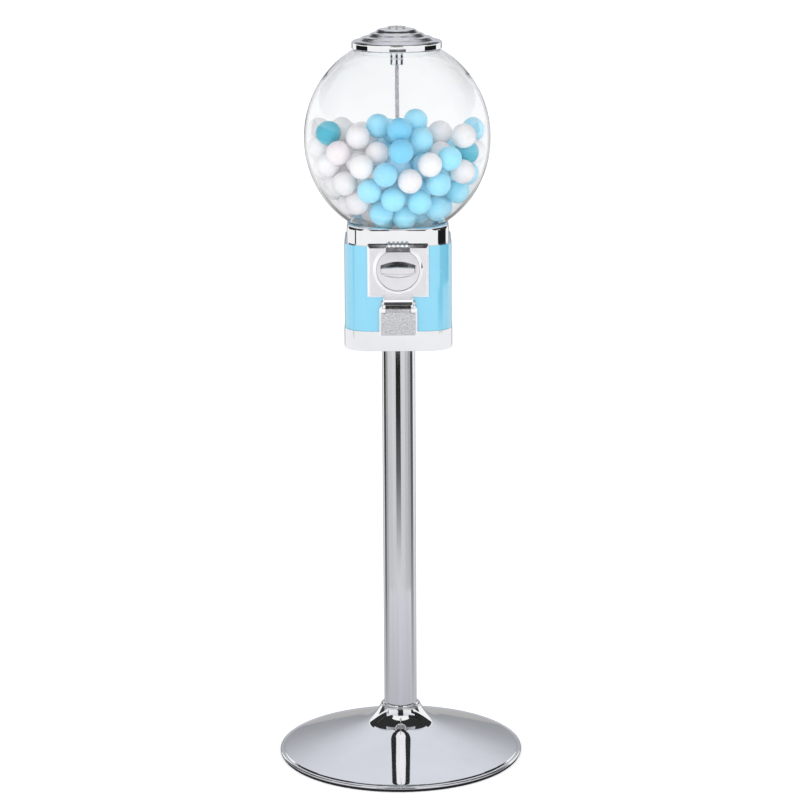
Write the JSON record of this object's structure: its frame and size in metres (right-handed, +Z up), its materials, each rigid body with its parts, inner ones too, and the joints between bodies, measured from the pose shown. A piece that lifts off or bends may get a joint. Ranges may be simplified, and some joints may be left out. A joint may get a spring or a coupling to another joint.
{
  "type": "gumball machine",
  "caption": "Coin-operated gumball machine on a chrome pole stand, with a clear globe of blue and white gumballs, a blue body, a turning dial, an outlet flap and a lift-off lid.",
  "frame": {"origin": "on the floor, on the axis of the pole", "axes": "+Z up, the coin dial and outlet face -Y, +X to the right of someone facing the dial from the front"},
  "size_m": [0.3134, 0.3134, 0.9396],
  "materials": {
    "chrome": "polished",
    "satin_chrome": "satin",
    "hammered_metal": "hammered",
    "blue_paint": "gloss",
    "clear_plastic": "clear",
    "black_rubber": "matte",
    "cast_iron": "rough",
    "steel": "zinc plated",
    "lock_metal": "satin",
    "white_plastic": "matte",
    "gear_plastic": "matte",
    "candy_blue": "sugar gloss",
    "candy_white": "sugar gloss"
  },
  "bodies": {
    "frame": {"base_dish": "chrome", "neck_ring": "chrome", "pole_tube": "chrome", "plinth": "chrome", "top_collar": "chrome", "dial_ring": "chrome", "coin_entry": "chrome", "chute_frame": "chrome", "coin_plate": "satin_chrome", "body_shell": "blue_paint", "globe": "clear_plastic", "foot_ring": "black_rubber", "globe_gasket": "black_rubber", "base_weight": "cast_iron", "base_plate": "steel", "base_hub": "steel", "tie_rod": "steel", "tie_rod_nut": "steel", "tie_rod_washer": "steel", "top_flange": "steel", "flange_screws": "steel", "centre_rod": "steel", "rod_nut": "steel", "rod_washer": "steel", "hopper_screws": "steel", "guard_nut": "steel", "mech_screws": "steel", "pawl_pin": "steel", "pawl_spring": "steel", "mech_bracket": "steel", "flap_pin": "steel", "coin_tray": "steel", "wheel_washer": "steel", "hopper_floor": "white_plastic", "chute": "white_plastic", "chute_roof": "white_plastic", "ball_guard": "white_plastic", "gumballs_blue": "candy_blue", "gumballs_white": "candy_white"},
    "dial": {"dial_handle": "satin_chrome", "dial_shaft": "steel", "coin_carrier": "steel", "ratchet_wheel": "steel", "drive_pinion": "gear_plastic", "shaft_clip": "steel"},
    "wheel": {"product_wheel": "white_plastic", "gumballs_in_wheel": "candy_white"},
    "pawl": {"ratchet_pawl": "steel"},
    "flap": {"chute_flap": "hammered_metal"},
    "lid": {"lid": "chrome", "lock_barrel": "chrome", "lock_nut": "steel", "lid_gasket": "black_rubber"},
    "lock": {"lock_plug": "lock_metal"}
  },
  "joints": [
    {"name": "dial_turn", "type": "hinge", "parent": "frame", "child": "dial", "pos_m": [0, -0.066, 0.6485], "axis": [0, 1, 0], "continuous": true},
    {"name": "wheel_turn", "type": "hinge", "parent": "frame", "child": "wheel", "pos_m": [0, 0, 0.677], "axis": [0, 0, 1], "continuous": true},
    {"name": "flap_swing", "type": "hinge", "parent": "frame", "child": "flap", "pos_m": [0, -0.0729, 0.5981], "axis": [-1, 0, 0], "range_deg": [0, 80]},
    {"name": "lid_lift", "type": "slide", "parent": "frame", "child": "lid", "axis": [0, 0, 1], "range_m": [0, 0.12]},
    {"name": "lock_turn", "type": "hinge", "parent": "lid", "child": "lock", "pos_m": [0, 0, 0.939], "axis": [0, 0, 1], "range_deg": [0, 90]},
    {"name": "pawl_rock", "type": "hinge", "parent": "frame", "child": "pawl", "pos_m": [-0.019, -0.06135, 0.6355], "axis": [0, -1, 0], "range_deg": [0, 10], "stiffness_Nm_per_rad": 0.02, "springref_deg": -11.46}
  ],
  "couplings": [
    {"joint": "wheel_turn", "follows": "dial_turn", "ratio": 0.25}
  ]
}
